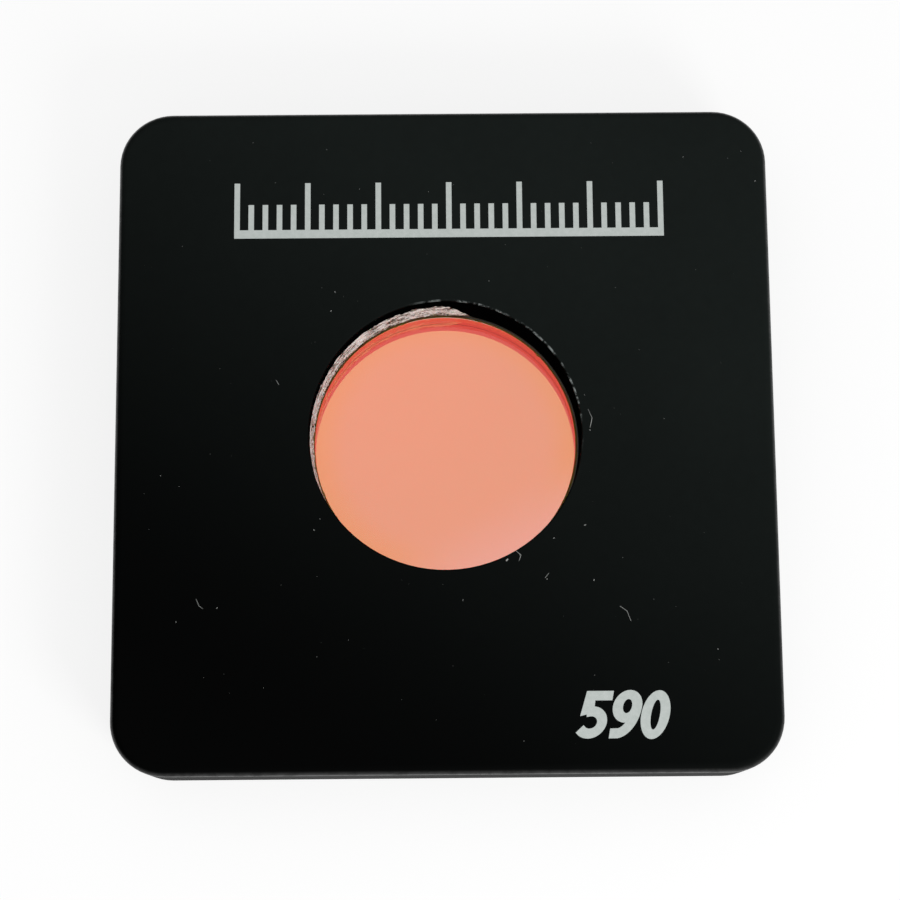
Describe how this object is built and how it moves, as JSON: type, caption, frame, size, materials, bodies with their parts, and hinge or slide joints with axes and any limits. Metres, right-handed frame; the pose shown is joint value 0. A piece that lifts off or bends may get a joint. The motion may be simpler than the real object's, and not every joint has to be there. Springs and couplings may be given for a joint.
{
  "type": "optical bandpass filter",
  "caption": "Square black slide-in filter plate with rounded corners and edges, and a coated orange bandpass glass bonded deep in its round central bore.",
  "frame": {"origin": "on the back face, under the middle of the plate and of the bore", "axes": "+Z out of the front face along the bore, +X to the right edge and +Y to the top edge of the printed front"},
  "size_m": [0.061, 0.0622, 0.009],
  "materials": {
    "plate": "satin black, moulded, slightly dusty",
    "glass": "polished, with a partly mirrored interference coating",
    "cement": "clear cement with a rough, glinting run-out on the wall",
    "ink": "screen-printed white ink"
  },
  "bodies": {
    "root": {"filter_plate": "plate", "filter_glass": "glass", "glass_bond": "cement"}
  },
  "joints": []
}
